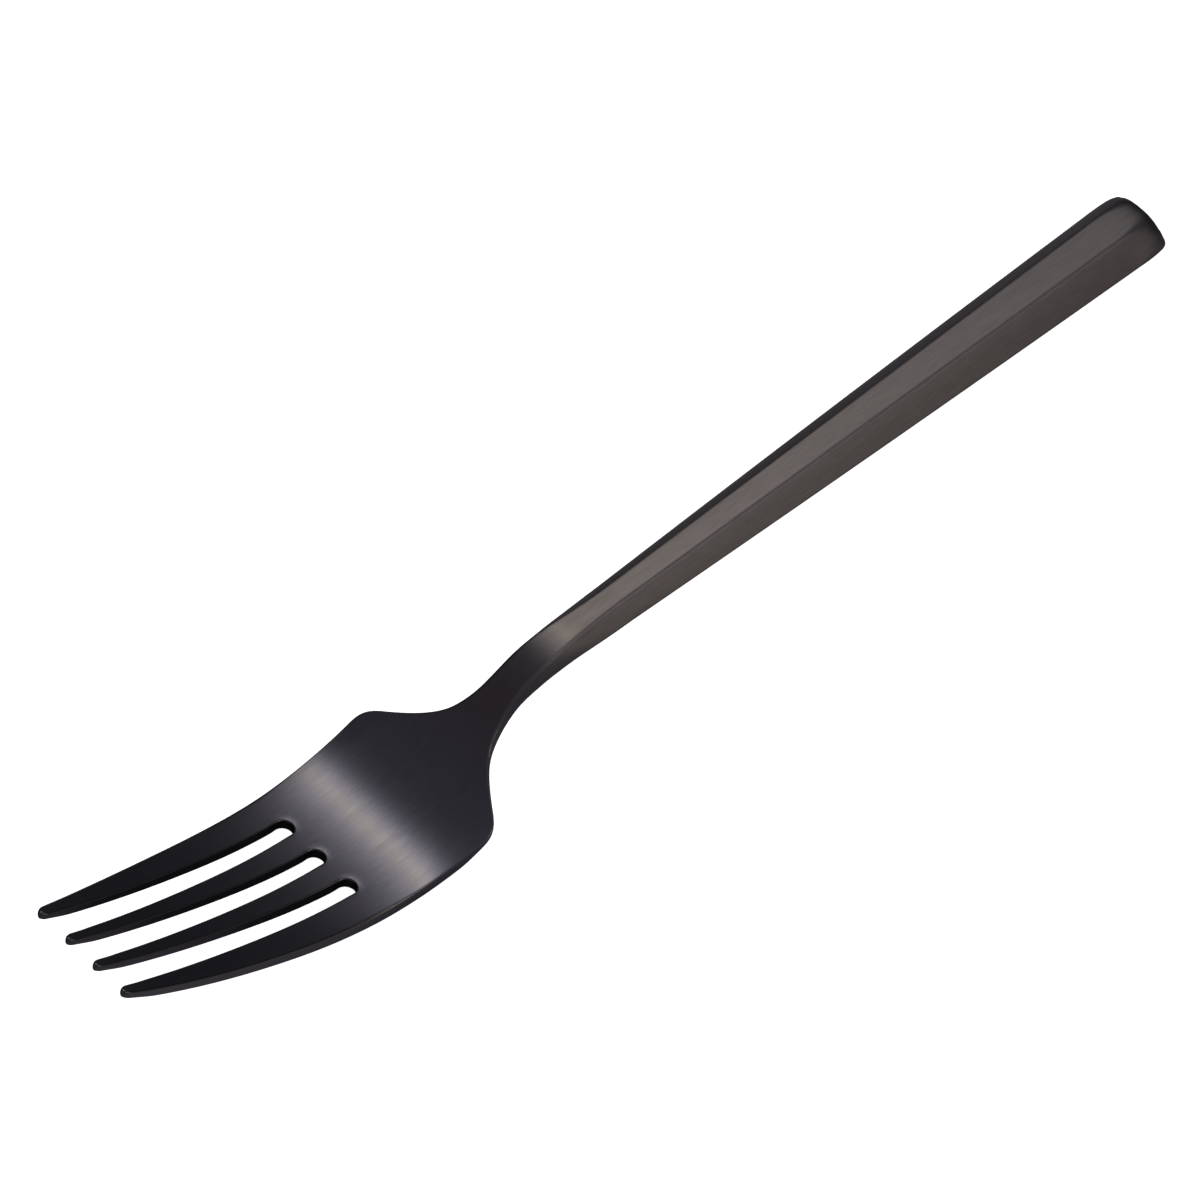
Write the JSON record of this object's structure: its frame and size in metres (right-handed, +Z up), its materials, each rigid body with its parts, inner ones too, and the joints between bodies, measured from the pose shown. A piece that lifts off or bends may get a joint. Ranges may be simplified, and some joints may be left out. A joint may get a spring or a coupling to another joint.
{
  "type": "dessert fork",
  "caption": "Black satin dessert fork with tapered tines, a curved flat palm, an S-shaped neck and a hollow six-sided tapered handle.",
  "frame": {"origin": "on the table, below the middle of the fork's length", "axes": "+X from the tine tips to the end of the handle, +Y to the fork's left, +Z up, with the fork lying tines up"},
  "size_m": [0.1812, 0.0244, 0.0215],
  "materials": {
    "black_steel": "satin black coating over steel brushed along the fork",
    "resin": "cast grey resin, hidden inside the handle"
  },
  "bodies": {
    "root": {"fork_head": "black_steel", "handle_top_shell": "black_steel", "handle_bottom_shell": "black_steel", "handle_filler": "resin"}
  },
  "joints": []
}
